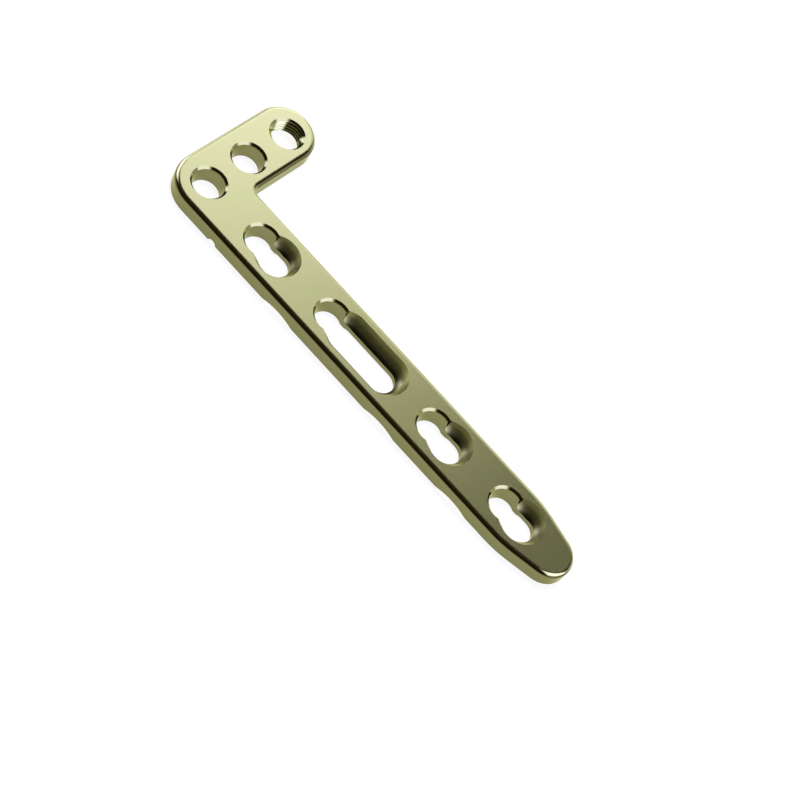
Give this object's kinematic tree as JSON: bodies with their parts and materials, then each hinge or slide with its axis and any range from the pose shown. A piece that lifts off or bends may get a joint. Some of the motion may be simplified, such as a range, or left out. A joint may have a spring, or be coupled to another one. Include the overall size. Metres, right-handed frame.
{
  "type": "orthopedic bone plate",
  "caption": "Right-angle bone plate with three round holes in its short arm, combination holes along its shaft, a tapered tip and a relieved underside.",
  "frame": {"origin": "on the axis of the corner hole, at the face that lies on the bone", "axes": "+X along the shaft from the head to the tip, +Y along the head's arm, +Z from the bone face to the top face"},
  "size_m": [0.0653, 0.0214, 0.0022],
  "materials": {
    "anodised_titanium": "polished"
  },
  "bodies": {
    "root": {"bone_plate": "anodised_titanium"}
  },
  "joints": []
}
